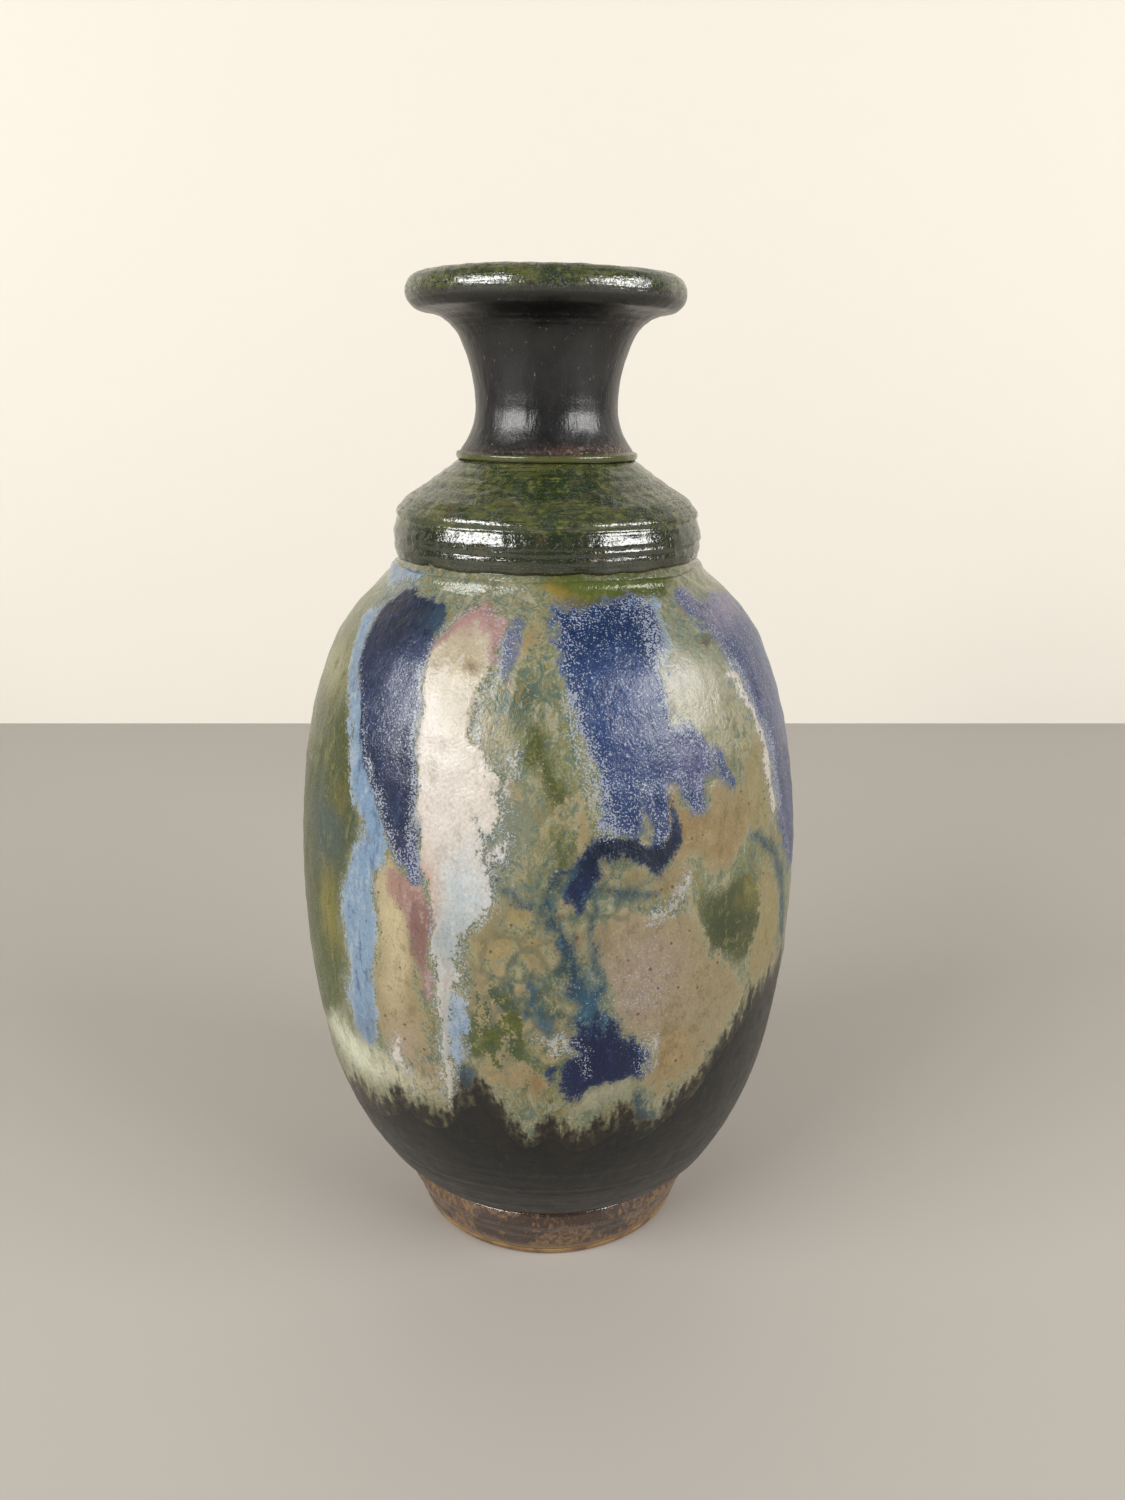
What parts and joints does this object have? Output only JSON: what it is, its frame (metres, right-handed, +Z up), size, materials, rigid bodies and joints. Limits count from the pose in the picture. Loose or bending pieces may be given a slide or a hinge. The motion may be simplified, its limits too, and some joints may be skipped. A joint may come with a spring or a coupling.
{
  "type": "stoneware pottery vase",
  "caption": "Free-standing thrown stoneware vase: turned foot, ovoid body, ridged collar, flared neck with a rolled lip, and running glazes.",
  "frame": {"origin": "centre of the foot's resting face", "axes": "+Z up the turning axis, towards the mouth; +Y away from the side usually shown, +X to its right"},
  "size_m": [0.1052, 0.1052, 0.2],
  "materials": {
    "stoneware_clay": "bare fired stoneware, fine grained, matt",
    "joining_slip": "fired joining slip, matt",
    "brown_foot_glaze": "mottled brown and ochre, glossy",
    "black_glaze": "charcoal black, satin",
    "running_glaze": "poured cream, blue, lavender, rose and green glazes run together, satin gloss",
    "green_glaze": "olive to bottle green, glossy",
    "liner_glaze": "dark green-brown liner, glossy"
  },
  "bodies": {
    "root": {"foot_ring": "stoneware_clay", "body_wall": "stoneware_clay", "shoulder_collar": "stoneware_clay", "neck_tube": "stoneware_clay", "rim_roll": "stoneware_clay", "foot_slip": "joining_slip", "collar_slip": "joining_slip", "neck_slip": "joining_slip", "rim_slip": "joining_slip", "foot_glaze": "brown_foot_glaze", "base_black_glaze": "black_glaze", "neck_black_glaze": "black_glaze", "body_running_glaze": "running_glaze", "collar_green_glaze": "green_glaze", "rim_green_glaze": "green_glaze", "liner_glaze": "liner_glaze"}
  },
  "joints": []
}
